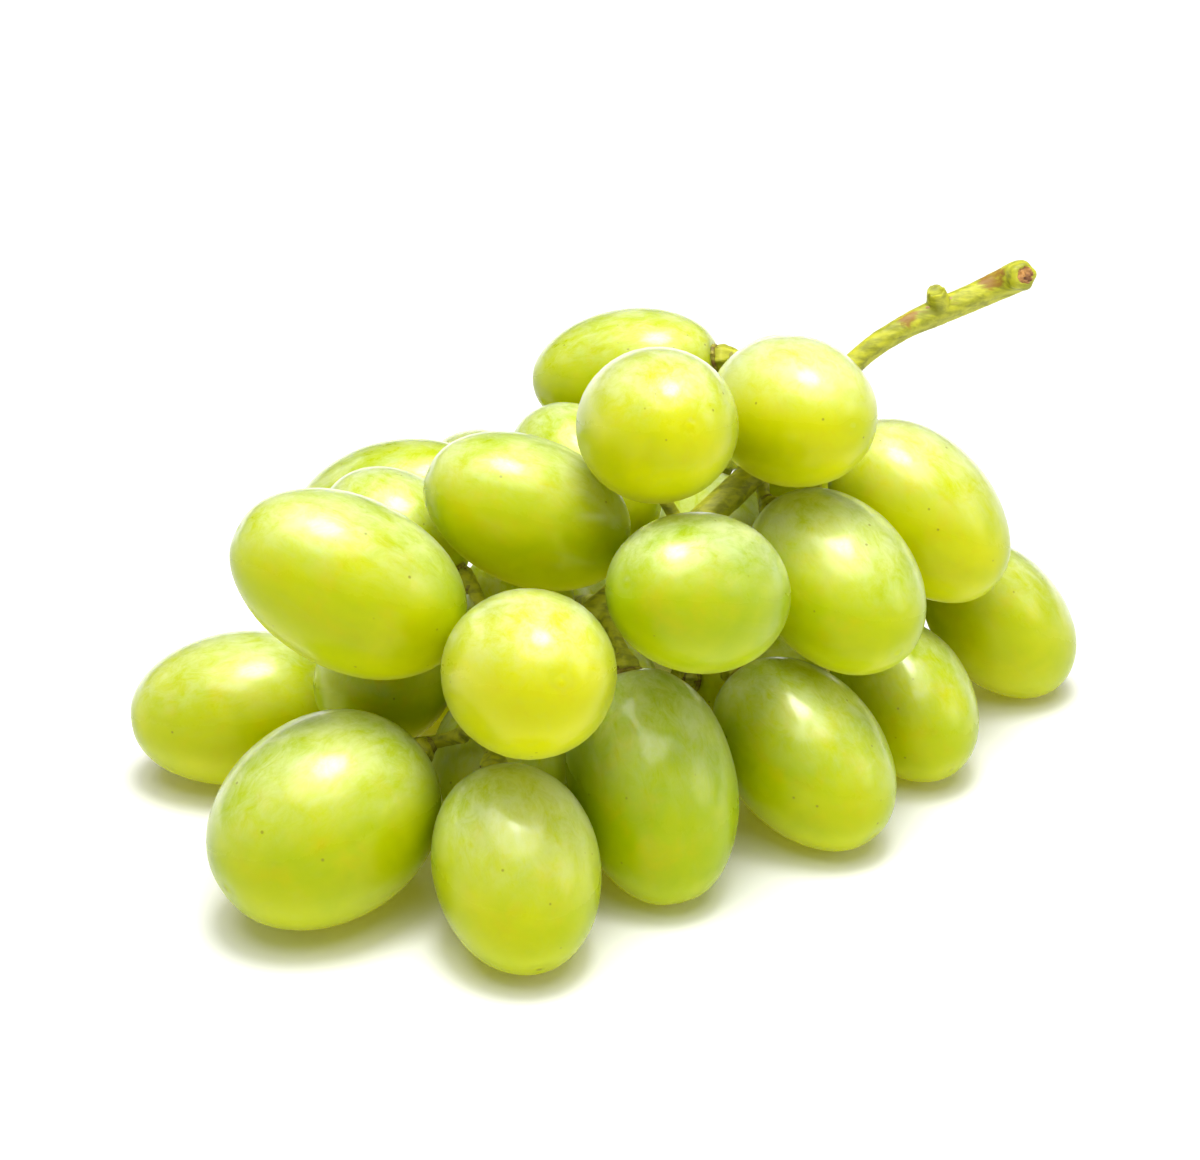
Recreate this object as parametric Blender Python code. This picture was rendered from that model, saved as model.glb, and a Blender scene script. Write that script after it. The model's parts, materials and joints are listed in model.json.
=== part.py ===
"""A bunch of green seedless grapes, as cut, lying on its side on a flat surface.

Every grape is an object of its own, and one object holds everything that is stem: the cut
stalk, the rachis that runs through the bunch, its side branches and a short pedicel to
each grape. Lengths in the tables are millimetres and angles are degrees. The model itself
is in metres, +Z up, with the middle of its footprint at the origin.
"""
import math
from collections import namedtuple

import bmesh
import bpy
import numpy as np
from mathutils import Matrix, Vector

MM = 0.001

# Grapes
SKIN_GAP = 0.45         # kept between two grapes
TABLE_GAP = 0.6         # least height of a grape that hangs clear of the table
PRESS = 0.4             # how far a grape that rests would reach below the table, and is flattened
BLUNTNESS = 0.95        # under 1 makes the turned profile a little fuller than an ellipse
STEM_END_WIDER = 0.03   # the stem end is wider than the blossom end by this share
DIMPLE_DEPTH = 0.5
DIMPLE_RADIUS = 1.9
SIDES = 16
STEM_END_RINGS = (8.0, 18.0)    # degrees from the stem end's pole
BODY_STEPS = 8

# Stem
STEM_GAP = 0.35         # kept between the stem and every grape
PEDICEL_RADIUS = 0.8
PEDICEL_ROOT_RADIUS = 1.0
RECEPTACLE_RADIUS = 1.7
RECEPTACLE_LENGTH = 2.2
RECEPTACLE_RIM = 0.8    # thickness of its wide rim
ROOM_RADIUS = 1.6       # ball of free room that every grape keeps at its stem end
RACHIS_SIDES = 10
BRANCH_SIDES = 8
PEDICEL_SIDES = 6

# Settling the grapes
SETTLE_STEPS = 260
HOLD_STEPS = 210        # for this many of them, front grapes are drawn to their own places
HOLD = 0.08             # share of its drift that a front grape takes back in each step
FRONT_GIVE = 1.0
INNER_GIVE = 5.0        # an inner grape gives way more than a front one
PUSH_SHARE = 0.5        # share of what is missing between two grapes that one step adds
LONGEST_PUSH = 1.0

# Easing a branch or a pedicel through the gaps
THREAD_STEPS = 160
PUSHES = 2              # out of the grapes, in each step
THREAD_SPACING = 2.1
THREAD_SMOOTHING = 0.3
THREAD_PUSH = 0.7
RESPACE_EVERY = 20
THREAD_LOWEST = 1.2     # height above the table
NEAR = 2.5              # how far outside a grape a point may be and still be tested against it

PEAK_STEPS = 14         # thirds taken off to find where two grapes are nearest
STALK_BALLS = 5         # to each stretch of the rachis

ON_TABLE = None

Grape = namedtuple("Grape", "name x y z heading rise length width")

# Heading and rise point from a grape's middle to its blossom end: 0 is +X, 90 is +Y, and a
# rise of 90 is straight up. A grape that is ON_TABLE takes its height from its own shape.
# The front grapes are the ones that the front view shows well, and they hold their places.
# The inner ones, behind and between them, give way.
FRONT_GRAPES = [
    Grape("grape_low_tip", -11.7, -29.2, ON_TABLE, -75, -35, 23.0, 18.2),
    Grape("grape_low_large", -26.3, -24.2, ON_TABLE, -140, -15, 26.5, 22.5),
    Grape("grape_low_long", 5.7, -16.8, ON_TABLE, -70, -50, 26.2, 18.8),
    Grape("grape_low_right_1", 23.5, -6.7, ON_TABLE, -45, -30, 24.5, 17.8),
    Grape("grape_low_right_2", 35.0, 7.2, ON_TABLE, -60, -25, 21.5, 16.0),
    Grape("grape_low_right_3", 47.7, 23.5, ON_TABLE, 0, -50, 22.5, 16.0),
    Grape("grape_low_left", -41.1, 4.3, ON_TABLE, -175, -5, 25.2, 18.1),
    Grape("grape_mid_tip", -8.4, -24.5, 30.3, -70, 25, 22.5, 18.2),
    Grape("grape_mid_front", 10.7, -13.7, 36.2, -140, 25, 22.0, 17.5),
    Grape("grape_mid_right_1", 24.2, -2.0, 25.7, -55, -20, 24.0, 18.0),
    Grape("grape_mid_right_2", 36.5, 15.2, 28.3, -25, -40, 24.5, 17.4),
    Grape("grape_mid_left_1", -25.2, -15.2, 34.6, 180, 30, 26.5, 18.8),
    Grape("grape_mid_left_2", -24.0, 19.0, 26.5, 170, -20, 25.0, 16.5),
    Grape("grape_top_left", -7.0, -4.1, 39.0, 180, 25, 23.5, 16.5),
    Grape("grape_top_front", 5.6, -9.0, 47.1, -70, 25, 21.5, 17.0),
    Grape("grape_top_right", 20.9, 5.4, 44.6, -55, 10, 21.0, 17.0),
    Grape("grape_top_back", 3.0, 28.0, 40.0, 165, -15, 23.0, 15.0),
]
INNER_GRAPES = [
    Grape("grape_low_inner_1", -21.0, -2.5, 12.0, -120, 0, 17.5, 15.5),
    Grape("grape_low_inner_2", -10.5, -11.5, ON_TABLE, -85, -40, 20.5, 16.0),
    Grape("grape_low_middle_1", 2.5, 6.5, 12.5, 100, 10, 18.5, 16.0),
    Grape("grape_low_middle_2", 16.0, 9.5, ON_TABLE, 40, -20, 21.0, 16.0),
    Grape("grape_low_back_1", -21.0, 18.0, ON_TABLE, 140, -15, 22.5, 17.0),
    Grape("grape_low_back_2", -3.0, 24.5, ON_TABLE, 100, -20, 23.0, 17.5),
    Grape("grape_low_back_3", 13.5, 31.5, ON_TABLE, 80, -25, 23.5, 17.5),
    Grape("grape_low_back_4", 31.0, 27.0, ON_TABLE, 60, -30, 22.5, 16.5),
    Grape("grape_mid_inner_1", -17.0, 5.0, 30.0, 150, 20, 18.0, 15.0),
    Grape("grape_mid_inner_2", -9.5, 2.5, 22.0, 100, -10, 15.0, 13.5),
    Grape("grape_mid_back_1", -13.0, 29.5, 20.5, 120, 0, 20.5, 15.0),
    Grape("grape_mid_back_2", 5.0, 35.0, 24.0, 100, 10, 22.0, 16.5),
    Grape("grape_mid_back_3", 23.2, 35.5, 22.7, 60, 5, 22.0, 16.8),
    Grape("grape_mid_middle", 13.0, 15.5, 24.0, 100, 10, 18.5, 16.0),
    Grape("grape_top_inner", -2.0, 13.0, 33.5, 140, 30, 20.0, 15.5),
    Grape("grape_top_shoulder", 20.5, 27.0, 35.5, 90, 5, 19.5, 15.0),
]

# The rachis, from the cut end, which turns to the front, down to the tip: place and radius
RACHIS = [
    (47.3, 21.4, 54.7, 1.6),
    (47.0, 22.8, 54.1, 1.75),
    (45.2, 23.9, 52.7, 1.6),
    (42.0, 23.2, 51.4, 1.5),
    (38.0, 21.8, 50.2, 1.45),
    (34.0, 20.2, 48.9, 1.25),
    (29.0, 18.4, 45.9, 1.2),
    (22.5, 15.0, 39.4, 1.4),
    (14.7, 7.5, 34.5, 1.7),
    (7.0, 2.6, 29.6, 1.5),
    (0.0, -2.2, 25.6, 1.35),
    (-7.0, -8.5, 22.6, 1.2),
    (-12.5, -14.0, 19.8, 1.1),
    (-14.5, -15.5, 17.0, 1.0),
]
RACHIS_STEPS = 3                # rings to each stretch between two of these places
HIDDEN_FROM = 7                 # the first of them that lies among the grapes
KNOB = (38.1, 21.9, 50.4)       # stub on the stalk where a tendril broke off
KNOB_TIP = (37.6, 21.0, 53.5)
KNOB_RADII = (1.3, 1.2, 0.95, 1.0)

# Side branches: a rough way through the gaps, from the rachis outwards, that is eased later
BRANCHES = {
    "inner": [(9.0, 3.8, 30.8), (9.5, 5.0, 23.0), (10.0, 4.0, 16.5)],
    "right": [(22.5, 15.0, 39.4), (26.5, 16.5, 31.0), (29.0, 17.5, 22.0), (30.0, 17.0, 17.5)],
    "back": [(18.5, 11.2, 37.0), (15.0, 20.5, 34.5), (12.0, 25.0, 30.0), (12.0, 25.5, 20.0)],
    "left": [(0.0, -2.2, 25.6), (-6.0, 5.0, 22.5), (-11.0, 11.0, 19.5), (-14.0, 13.0, 17.0)],
    "tip": [(-7.0, -8.5, 22.6), (-12.5, -6.0, 19.5), (-15.5, -4.0, 18.5)],
}
BRANCH_ROOT_RADIUS = 1.1
BRANCH_TIP_RADIUS = 0.85

SKIN_COLOUR = (0.50, 0.62, 0.07, 1.0)
STEM_COLOUR = (0.36, 0.38, 0.07, 1.0)


def clear_scene():
    """Removes every object that the scene starts with."""
    for item in list(bpy.data.objects):
        bpy.data.objects.remove(item, do_unlink=True)


def material(name, colour, roughness):
    """A Principled BSDF material of one colour."""
    made = bpy.data.materials.new(name)
    made.use_nodes = True
    shader = made.node_tree.nodes["Principled BSDF"]
    shader.inputs["Base Color"].default_value = colour
    shader.inputs["Roughness"].default_value = roughness
    shader.inputs["Metallic"].default_value = 0.0
    return made


def direction(heading, rise):
    """Unit vector of a heading round +Z and a rise above level."""
    h, e = math.radians(heading), math.radians(rise)
    return np.array([math.cos(e) * math.cos(h), math.cos(e) * math.sin(h), math.sin(e)])


def form(axis, half_length, half_width):
    """Shape matrix of a spheroid: its square roots are the half-lengths."""
    return half_width ** 2 * np.eye(3) + (half_length ** 2 - half_width ** 2) * np.outer(axis, axis)


def ball(radius):
    """Shape matrix of a sphere."""
    return radius ** 2 * np.eye(3)


def contact(place_a, form_a, place_b, form_b):
    """Gap between each pair of spheroids, and the unit vector from a to b across it.

    The contact function of two ellipsoids has one peak between 0 and 1, found by thirds.
    """
    apart = place_b - place_a

    def value(share):
        mixed = (1 - share)[:, None, None] * form_a + share[:, None, None] * form_b
        solved = np.linalg.solve(mixed, apart[:, :, None])[:, :, 0]
        return share * (1 - share) * np.einsum("ij,ij->i", apart, solved), solved

    low, high = np.zeros(len(apart)), np.ones(len(apart))
    for _ in range(PEAK_STEPS):
        third = (high - low) / 3
        rising = value(low + third)[0] < value(high - third)[0]
        low = np.where(rising, low + third, low)
        high = np.where(rising, high, high - third)
    peak, normal = value((low + high) / 2)
    distance = np.linalg.norm(apart, axis=1)
    gap = distance * (1 - 1 / np.sqrt(peak))
    return gap, normal / np.linalg.norm(normal, axis=1)[:, None]


def rachis_balls():
    """Balls along the rachis, which grapes keep clear of: place and radius."""
    rows = np.array(RACHIS)
    shares = np.linspace(0, 1, STALK_BALLS)[:, None]
    return np.vstack([start * (1 - shares) + end * shares for start, end in zip(rows, rows[1:])])


class Bunch:
    """The grapes as spheroids, with their places in millimetres on the table."""

    def __init__(self):
        self.grapes = FRONT_GRAPES + INNER_GRAPES
        self.axis = np.array([direction(g.heading, g.rise) for g in self.grapes])
        self.half_length = np.array([g.length / 2 for g in self.grapes])
        self.half_width = np.array([g.width / 2 for g in self.grapes])
        self.forms = np.array([form(*row) for row in zip(self.axis, self.half_length, self.half_width)])
        self.rests = np.array([g.z is ON_TABLE for g in self.grapes])
        self.give = np.array([FRONT_GIVE] * len(FRONT_GRAPES) + [INNER_GIVE] * len(INNER_GRAPES))
        self.below = np.sqrt(self.forms[:, 2, 2])       # from a grape's middle to its lowest point
        self.place = np.array([(g.x, g.y, g.z or 0.0) for g in self.grapes])
        self.stand()
        self.home = self.place.copy()

    def stand(self):
        """Sets the grapes that rest on the table, and keeps the others off it."""
        floor = self.below + TABLE_GAP
        lifted = np.maximum(self.place[:, 2], floor)
        self.place[:, 2] = np.where(self.rests, self.below - PRESS, lifted)

    def stem_room(self):
        """Middle of the free ball at each grape's stem end."""
        reach = self.half_length - DIMPLE_DEPTH + STEM_GAP + ROOM_RADIUS
        return self.place - self.axis * reach[:, None]

    def settle(self):
        """Pushes grapes apart until each is clear of its neighbours and of the rachis."""
        count = len(self.grapes)
        pair_a, pair_b = np.triu_indices(count, 1)
        room_a, room_b = np.nonzero(~np.eye(count, dtype=bool))
        stalk = rachis_balls()
        grape_s, stalk_s = [index.ravel() for index in np.indices((count, len(stalk)))]
        stalk_forms = np.array([ball(radius) for radius in stalk[:, 3]])
        room_form = ball(ROOM_RADIUS)
        front = self.give == FRONT_GIVE
        for step in range(SETTLE_STEPS):
            push = np.zeros_like(self.place)
            self.press(push, pair_a, pair_b, self.place[pair_a], self.forms[pair_a], SKIN_GAP)
            rooms = self.stem_room()[room_a]
            room_forms = np.broadcast_to(room_form, (len(room_a), 3, 3))
            self.press(push, room_a, room_b, rooms, room_forms, 0.0)
            self.press(push, None, grape_s, stalk[stalk_s, :3], stalk_forms[stalk_s], STEM_GAP)
            if step < HOLD_STEPS:
                push[front] += HOLD * (self.home[front] - self.place[front])
            self.place += push
            self.stand()

    def press(self, push, index_a, index_b, place_a, form_a, wanted):
        """Adds to push what parts each pair that is closer than wanted.

        Without index_a, the first of each pair is a piece of the stem, which stays.
        """
        reach = np.sqrt(np.trace(form_a, axis1=1, axis2=2)) + self.half_length[index_b] + NEAR
        near = np.linalg.norm(self.place[index_b] - place_a, axis=1) < reach
        index_b = index_b[near]
        gap, normal = contact(place_a[near], form_a[near], self.place[index_b], self.forms[index_b])
        short = np.clip(wanted - gap, 0.0, LONGEST_PUSH)[:, None] * normal * PUSH_SHARE
        if index_a is None:
            np.add.at(push, index_b, short)
            return
        index_a = index_a[near]
        give_a, give_b = self.give[index_a], self.give[index_b]
        share = (give_a / (give_a + give_b))[:, None]
        np.add.at(push, index_a, -short * share)
        np.add.at(push, index_b, short * (1 - share))

    def thread(self, route, radius):
        """Eases a rough route through the gaps between the grapes, with both ends held."""
        points = resample(np.array(route, dtype=float))
        thickness = ball(radius)
        for step in range(1, THREAD_STEPS + 1):
            middles = (points[:-2] + points[2:]) / 2
            points[1:-1] += THREAD_SMOOTHING * (middles - points[1:-1])
            for _ in range(PUSHES):
                points[1:-1] += self.out_of_grapes(points[1:-1], thickness)
            if step % RESPACE_EVERY == 0 and step < THREAD_STEPS:
                points = resample(points)
        return points

    def out_of_grapes(self, points, thickness):
        """The way each point has to go to be clear of every grape."""
        grape, point = [index.ravel() for index in np.indices((len(self.grapes), len(points)))]
        near = np.linalg.norm(self.place[grape] - points[point], axis=1) < self.half_length[grape] + NEAR
        grape, point = grape[near], point[near]
        move = np.zeros_like(points)
        if len(grape):
            forms = np.broadcast_to(thickness, (len(grape), 3, 3))
            gap, normal = contact(self.place[grape], self.forms[grape], points[point], forms)
            short = np.clip(STEM_GAP - gap, 0.0, LONGEST_PUSH)[:, None] * normal * THREAD_PUSH
            np.add.at(move, point, short)
        move[:, 2] += np.clip(THREAD_LOWEST - points[:, 2], 0.0, None)
        return move


def resample(points):
    """The same line with evenly spaced points, at least three of them."""
    lengths = np.linalg.norm(np.diff(points, axis=0), axis=1)
    along = np.concatenate([[0.0], np.cumsum(lengths)])
    count = max(3, int(round(along[-1] / THREAD_SPACING)) + 1)
    wanted = np.linspace(0.0, along[-1], count)
    return np.stack([np.interp(wanted, along, points[:, k]) for k in range(3)], axis=1)


def smooth_line(points, count):
    """A Catmull-Rom curve through the points, read at evenly spread places."""
    points = np.asarray(points, dtype=float)
    padded = np.vstack([2 * points[0] - points[1], points, 2 * points[-1] - points[-2]])
    line = []
    for share in np.linspace(0, len(points) - 1, count):
        k = min(int(share), len(points) - 2)
        t = share - k
        a, b, c, d = padded[k:k + 4]
        line.append(0.5 * (2 * b + (c - a) * t + (2 * a - 5 * b + 4 * c - d) * t ** 2
                           + (3 * b - a - 3 * c + d) * t ** 3))
    return np.array(line)


def new_object(name, mesh_maker, skin):
    """An object in the scene whose mesh is what mesh_maker leaves in a bmesh."""
    shape = bmesh.new()
    mesh_maker(shape)
    bmesh.ops.recalc_face_normals(shape, faces=shape.faces)
    mesh = bpy.data.meshes.new(name)
    shape.to_mesh(mesh)
    shape.free()
    mesh.shade_smooth()
    mesh.materials.append(skin)
    made = bpy.data.objects.new(name, mesh)
    bpy.context.scene.collection.objects.link(made)
    return made


def grape_profile(half_length, half_width):
    """Radius and height of the turned outline, from the stem end's pole to the blossom end's."""
    angles = [0.0, *STEM_END_RINGS]
    start = STEM_END_RINGS[-1]
    angles += [start + (180.0 - start) * step / BODY_STEPS for step in range(1, BODY_STEPS + 1)]
    outline = []
    for angle in angles:
        t = math.radians(angle)
        radius = half_width * abs(math.sin(t)) ** BLUNTNESS * (1 + STEM_END_WIDER * math.cos(t))
        if angle in (0.0, 180.0):
            radius = 0.0
        dimple = DIMPLE_DEPTH * math.exp(-(radius / DIMPLE_RADIUS) ** 2) if angle < 90 else 0.0
        outline.append((radius, half_length * math.cos(t) - dimple))
    return outline


def turn_grape(half_length, half_width, floor):
    """Returns a maker that turns the outline round Z and flattens it at the floor plane, if any."""
    def make(shape):
        outline = grape_profile(half_length, half_width)
        top = shape.verts.new((0, 0, outline[0][1] * MM))
        bottom = shape.verts.new((0, 0, outline[-1][1] * MM))
        rings = []
        for radius, height in outline[1:-1]:
            ring = []
            for side in range(SIDES):
                turn = math.tau * side / SIDES
                ring.append(shape.verts.new((radius * math.cos(turn) * MM, radius * math.sin(turn) * MM,
                                             height * MM)))
            rings.append(ring)
        for side in range(SIDES):
            after = (side + 1) % SIDES
            shape.faces.new((top, rings[0][side], rings[0][after]))
            shape.faces.new((bottom, rings[-1][after], rings[-1][side]))
            for upper, lower in zip(rings, rings[1:]):
                shape.faces.new((upper[side], lower[side], lower[after], upper[after]))
        if floor is not None:
            point, normal = floor
            everything = shape.verts[:] + shape.edges[:] + shape.faces[:]
            cut = bmesh.ops.bisect_plane(shape, geom=everything, plane_co=point, plane_no=normal,
                                         clear_outer=True)
            rim = [piece for piece in cut["geom_cut"] if isinstance(piece, bmesh.types.BMEdge)]
            bmesh.ops.contextual_create(shape, geom=rim)
        bmesh.ops.triangulate(shape, faces=shape.faces)
    return make


def build_grapes(bunch, skin, root):
    """One object for each grape, placed by its location and rotation."""
    for grape, place, axis, rests in zip(bunch.grapes, bunch.place, bunch.axis, bunch.rests):
        turn = Vector((0, 0, -1)).rotation_difference(Vector(axis))
        matrix = Matrix.Translation(Vector(place) * MM) @ turn.to_matrix().to_4x4()
        back = matrix.inverted()
        floor = (back @ Vector((0, 0, 0)), back.to_3x3() @ Vector((0, 0, -1))) if rests else None
        made = new_object(grape.name, turn_grape(grape.length / 2, grape.width / 2, floor), skin)
        made.rotation_mode = "QUATERNION"
        made.location = matrix.to_translation()
        made.rotation_quaternion = turn
        made.parent = root


def limb(points, radii, sides):
    """Returns a maker for a closed tube along the points, with a radius at each."""
    points = np.asarray(points, dtype=float)
    tangents = np.gradient(points, axis=0)
    tangents /= np.linalg.norm(tangents, axis=1)[:, None]

    def make(shape):
        across = Vector(tangents[0]).orthogonal().normalized()
        rings = []
        for point, tangent, radius in zip(points, tangents, radii):
            tangent = Vector(tangent)
            across = (across - tangent * across.dot(tangent)).normalized()
            other = tangent.cross(across)
            ring = []
            for side in range(sides):
                turn = math.tau * side / sides
                spot = Vector(point) + (across * math.cos(turn) + other * math.sin(turn)) * radius
                ring.append(shape.verts.new(spot * MM))
            rings.append(ring)
        for low, high in zip(rings, rings[1:]):
            for side in range(sides):
                after = (side + 1) % sides
                shape.faces.new((low[side], low[after], high[after], high[side]))
        shape.faces.new(rings[0][::-1])
        shape.faces.new(rings[-1])
        bmesh.ops.triangulate(shape, faces=shape.faces)
    return make


def nearest(lines, target):
    """The point of the lines that is nearest to the target."""
    spots = np.vstack(lines)
    return spots[np.argmin(np.linalg.norm(spots - target, axis=1))]


def build_stem(bunch, bark, root):
    """The cut stalk, rachis, branches and pedicels, joined into one body."""
    rows = np.array(RACHIS)
    main = smooth_line(rows, RACHIS_STEPS * (len(rows) - 1) + 1)
    pieces = [new_object("stem", limb(main[:, :3], main[:, 3], RACHIS_SIDES), bark)]
    knob = np.linspace(KNOB, KNOB_TIP, len(KNOB_RADII))
    pieces.append(new_object("knob", limb(knob, KNOB_RADII, BRANCH_SIDES), bark))
    lines = [main[RACHIS_STEPS * HIDDEN_FROM:, :3]]
    for name, route in BRANCHES.items():
        line = bunch.thread(route, BRANCH_ROOT_RADIUS)
        lines.append(line)
        radii = np.linspace(BRANCH_ROOT_RADIUS, BRANCH_TIP_RADIUS, len(line))
        pieces.append(new_object("branch_" + name, limb(line, radii, BRANCH_SIDES), bark))
    for grape, place, axis, half in zip(bunch.grapes, bunch.place, bunch.axis, bunch.half_length):
        seat = place - axis * (half - DIMPLE_DEPTH + STEM_GAP)
        collar = seat - axis * RECEPTACLE_LENGTH
        anchor = nearest(lines, collar - axis * RECEPTACLE_LENGTH)
        line = bunch.thread([anchor, collar], PEDICEL_RADIUS)
        whole = np.vstack([line, seat - axis * RECEPTACLE_RIM, seat])
        radii = np.full(len(whole), PEDICEL_RADIUS)
        radii[0] = PEDICEL_ROOT_RADIUS
        radii[-2:] = RECEPTACLE_RADIUS
        pieces.append(new_object("pedicel_" + grape.name, limb(whole, radii, PEDICEL_SIDES), bark))
    stem = join(pieces)
    stem.parent = root


def join(pieces):
    """Joins the pieces into the first by one Boolean union."""
    whole, *rest = pieces
    group = bpy.data.collections.new("stem pieces")
    bpy.context.scene.collection.children.link(group)
    for piece in rest:
        bpy.context.scene.collection.objects.unlink(piece)
        group.objects.link(piece)
    union = whole.modifiers.new("join", "BOOLEAN")
    union.operation = "UNION"
    union.operand_type = "COLLECTION"
    union.collection = group
    union.solver = "EXACT"
    bpy.context.view_layer.update()
    joined = bpy.data.meshes.new_from_object(whole.evaluated_get(bpy.context.evaluated_depsgraph_get()))
    whole.modifiers.remove(union)
    drop_scraps(joined)
    whole.data = joined
    for piece in rest:
        bpy.data.objects.remove(piece, do_unlink=True)
    bpy.data.collections.remove(group)
    return whole


def drop_scraps(mesh):
    """Leaves only the body with the most vertices, without the scraps that joining can leave inside."""
    shape = bmesh.new()
    shape.from_mesh(mesh)
    bodies = []
    unseen = set(shape.verts)
    while unseen:
        body = [unseen.pop()]
        for vertex in body:
            for edge in vertex.link_edges:
                other = edge.other_vert(vertex)
                if other in unseen:
                    unseen.remove(other)
                    body.append(other)
        bodies.append(body)
    bodies.sort(key=len)
    scraps = [vertex for body in bodies[:-1] for vertex in body]
    bmesh.ops.delete(shape, geom=scraps, context="VERTS")
    shape.to_mesh(mesh)
    shape.free()


def centre(root):
    """Moves the whole bunch so that the middle of its box is over the origin."""
    bpy.context.view_layer.update()
    corners = np.array([piece.matrix_world @ vertex.co for piece in root.children
                        for vertex in piece.data.vertices])
    low, high = corners.min(axis=0), corners.max(axis=0)
    root.location = (-(low[0] + high[0]) / 2, -(low[1] + high[1]) / 2, -low[2])


def main():
    clear_scene()
    skin = material("grape_skin", SKIN_COLOUR, 0.35)
    bark = material("green_stem", STEM_COLOUR, 0.6)
    root = bpy.data.objects.new("bunch", None)
    bpy.context.scene.collection.objects.link(root)
    bunch = Bunch()
    bunch.settle()
    build_grapes(bunch, skin, root)
    build_stem(bunch, bark, root)
    centre(root)


if __name__ == "__main__":
    main()
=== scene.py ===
# %% [markdown]
# # A bunch of green grapes
# The frame is the measured model: one plain oval solid for each grape, and one for the whole
# stem. Nothing in it may move. This lesson keeps every solid's place and dresses it: a skin
# with its bloom over juicy flesh for the grapes, and bark, torn ends and warty seats for the stem.

# %% Load the frame
import json
import math
from collections import Counter

import bmesh
import bpy
import numpy as np
from mathutils import Matrix, Vector, noise

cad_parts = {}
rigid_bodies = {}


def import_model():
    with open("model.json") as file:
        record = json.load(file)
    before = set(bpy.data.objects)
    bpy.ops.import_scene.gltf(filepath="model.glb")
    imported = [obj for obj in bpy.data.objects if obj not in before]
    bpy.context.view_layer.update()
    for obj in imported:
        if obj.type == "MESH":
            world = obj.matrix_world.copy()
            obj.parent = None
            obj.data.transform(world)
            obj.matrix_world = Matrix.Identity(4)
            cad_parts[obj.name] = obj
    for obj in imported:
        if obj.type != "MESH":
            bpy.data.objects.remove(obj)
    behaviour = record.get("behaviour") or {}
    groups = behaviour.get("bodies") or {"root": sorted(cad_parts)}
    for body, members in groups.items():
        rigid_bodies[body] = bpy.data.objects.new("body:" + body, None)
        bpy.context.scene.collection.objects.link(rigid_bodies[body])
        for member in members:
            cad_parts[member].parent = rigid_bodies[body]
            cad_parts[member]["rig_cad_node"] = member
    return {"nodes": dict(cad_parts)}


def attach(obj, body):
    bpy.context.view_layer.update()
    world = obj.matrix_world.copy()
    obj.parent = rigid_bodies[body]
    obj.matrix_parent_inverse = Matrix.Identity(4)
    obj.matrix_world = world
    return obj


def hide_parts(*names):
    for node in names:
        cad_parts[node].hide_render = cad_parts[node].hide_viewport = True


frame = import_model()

MM = 0.001
MOVED = Vector((-1.78, -3.50, 0.0)) * MM    # from where the bunch was laid out to the frame's origin
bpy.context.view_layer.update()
grape_nodes = sorted(name for name in frame["nodes"] if name.startswith("grape_"))

# %% [markdown]
# ## The camera
# The photographer stood in front of the bunch and looked down on it. A long lens from a third
# of a metre away keeps the near and far grapes at almost the same scale. The camera is placed
# by what it looks at, how far off it is and how steeply it looks down, since those three are
# easier to correct than a place and three angles.

# %% The camera
LOOK_AT = Vector((0.0, 3.1, 25.9)) * MM + MOVED
LOOK_DOWN = math.radians(28)
DISTANCE = 350 * MM
LENS = 94.5             # millimetres, on a sensor that is 36 wide

forward = Vector((0, math.cos(LOOK_DOWN), -math.sin(LOOK_DOWN)))
bpy.ops.object.camera_add(location=LOOK_AT - forward * DISTANCE,
                          rotation=(math.radians(90) - LOOK_DOWN, 0, 0))
camera = bpy.context.object
camera.name = "camera"
camera.data.sensor_width = 36
camera.data.lens = LENS
camera.data.clip_start = 10 * MM
camera.data.clip_end = 20
bpy.context.scene.camera = camera
print("camera at", [round(v / MM, 1) for v in camera.location])

# %% [markdown]
# ## Studio light
# The photograph is a white-on-white studio picture. Three things make its look. White
# surroundings light the grapes from every side, so their edges shine. A wide soft box hangs
# straight overhead: each grape shows it as a pale patch a third of the way down from its top.
# The lamp inside the box makes the smaller, brighter spot within that patch.

# %% Studio light
AROUND = 0.24           # brightness of the white surroundings
BOX_HEIGHT = 0.55       # metres above the floor
BOX_FORWARD = 0.05      # of the object, towards the camera
BOX_WIDTH = 0.66
BOX_POWER = 3.3
LAMP_WIDTH = 0.22
LAMP_POWER = 1.7
SIDE_POWER = 0.35


def soft_box(name, place, aim, width, power):
    """A round area light at a place, turned to face a point."""
    turn = (aim - place).to_track_quat("-Z", "Y").to_euler()
    bpy.ops.object.light_add(type="AREA", location=place, rotation=turn)
    lamp = bpy.context.object
    lamp.name = name
    lamp.data.shape = "DISK"
    lamp.data.size = width
    lamp.data.energy = power
    return lamp


world = bpy.data.worlds.new("white surroundings")
bpy.context.scene.world = world
world.use_nodes = True
world.node_tree.nodes["Background"].inputs["Color"].default_value = (1, 1, 1, 1)
world.node_tree.nodes["Background"].inputs["Strength"].default_value = AROUND
soft_box("soft box", Vector((0.0, -BOX_FORWARD, BOX_HEIGHT)), LOOK_AT, BOX_WIDTH, BOX_POWER)
soft_box("lamp", Vector((0.01, -0.02, BOX_HEIGHT - 0.03)), LOOK_AT, LAMP_WIDTH, LAMP_POWER)
soft_box("side card", Vector((0.55, -0.15, 0.22)), LOOK_AT, 0.3, SIDE_POWER)
bpy.context.scene.view_settings.view_transform = "Standard"

# %% [markdown]
# ## Writing materials as sums
# A material is a graph of small sums. Adding nodes one by one hides the sum that they make, so
# one class wraps a socket and lets Python's own signs add the Math nodes. Every other kind of
# node comes from its one method, which sets the node up before it feeds its sockets.

# %% Writing materials as sums
COLOUR_MIX = {"factor": 0, "a": 6, "b": 7, "out": 2}    # the Mix node's sockets for colours


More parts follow.
